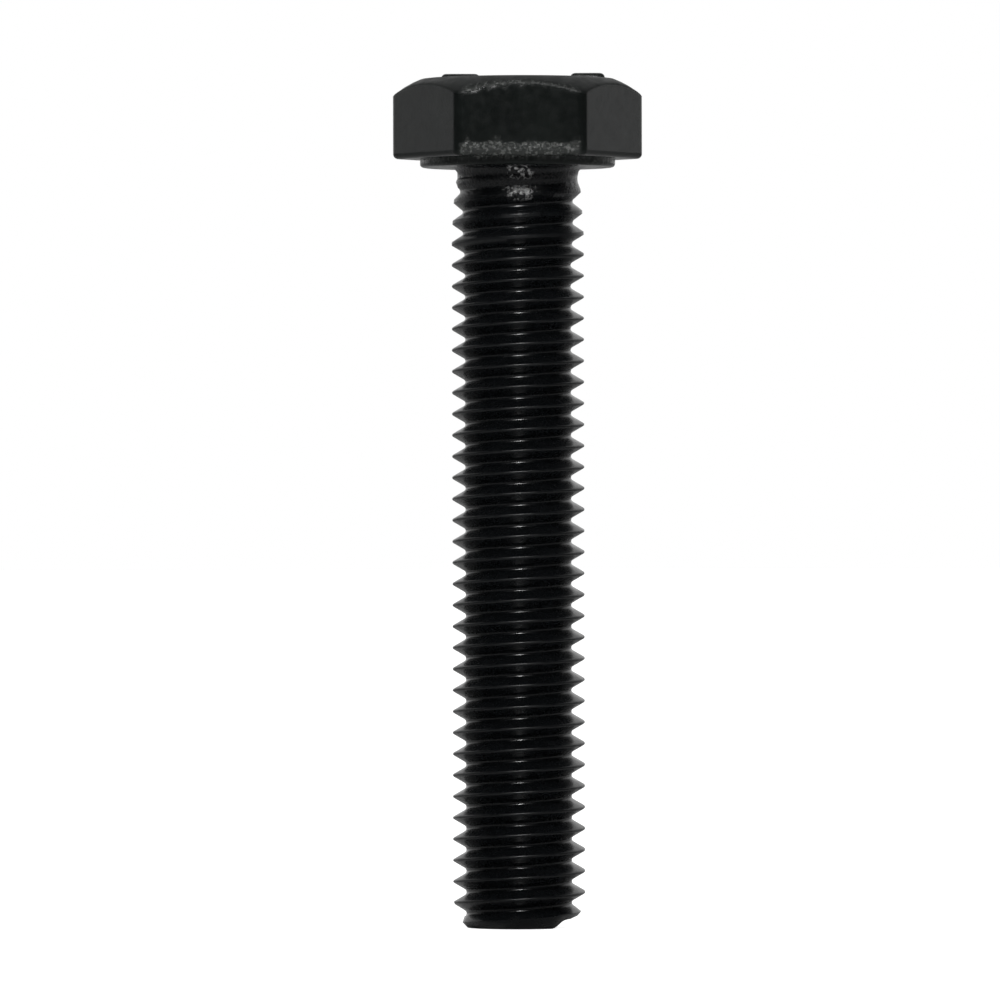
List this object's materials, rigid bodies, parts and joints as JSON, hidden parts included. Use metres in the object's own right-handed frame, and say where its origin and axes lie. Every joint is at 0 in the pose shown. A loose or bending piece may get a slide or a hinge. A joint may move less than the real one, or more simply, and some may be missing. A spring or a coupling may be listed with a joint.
{
  "type": "hex bolt",
  "caption": "Hex head bolt with a washer face and a coarse right-hand thread rolled up to the head; it clamps parts together through a clearance hole.",
  "frame": {"origin": "centre of the bearing face under the head, on the bolt's axis", "axes": "+Z along the bolt's axis towards the head, so the shank points to -Z; two of the head's flats face +Y and -Y and two of its corners lie on the X axis"},
  "size_m": [0.0146, 0.0128, 0.0503],
  "materials": {
    "blackened_steel": "black oxide coating on steel (not paint), satin, lightly oiled, fine grain"
  },
  "bodies": {
    "root": {"hex_bolt": "blackened_steel"}
  },
  "joints": []
}
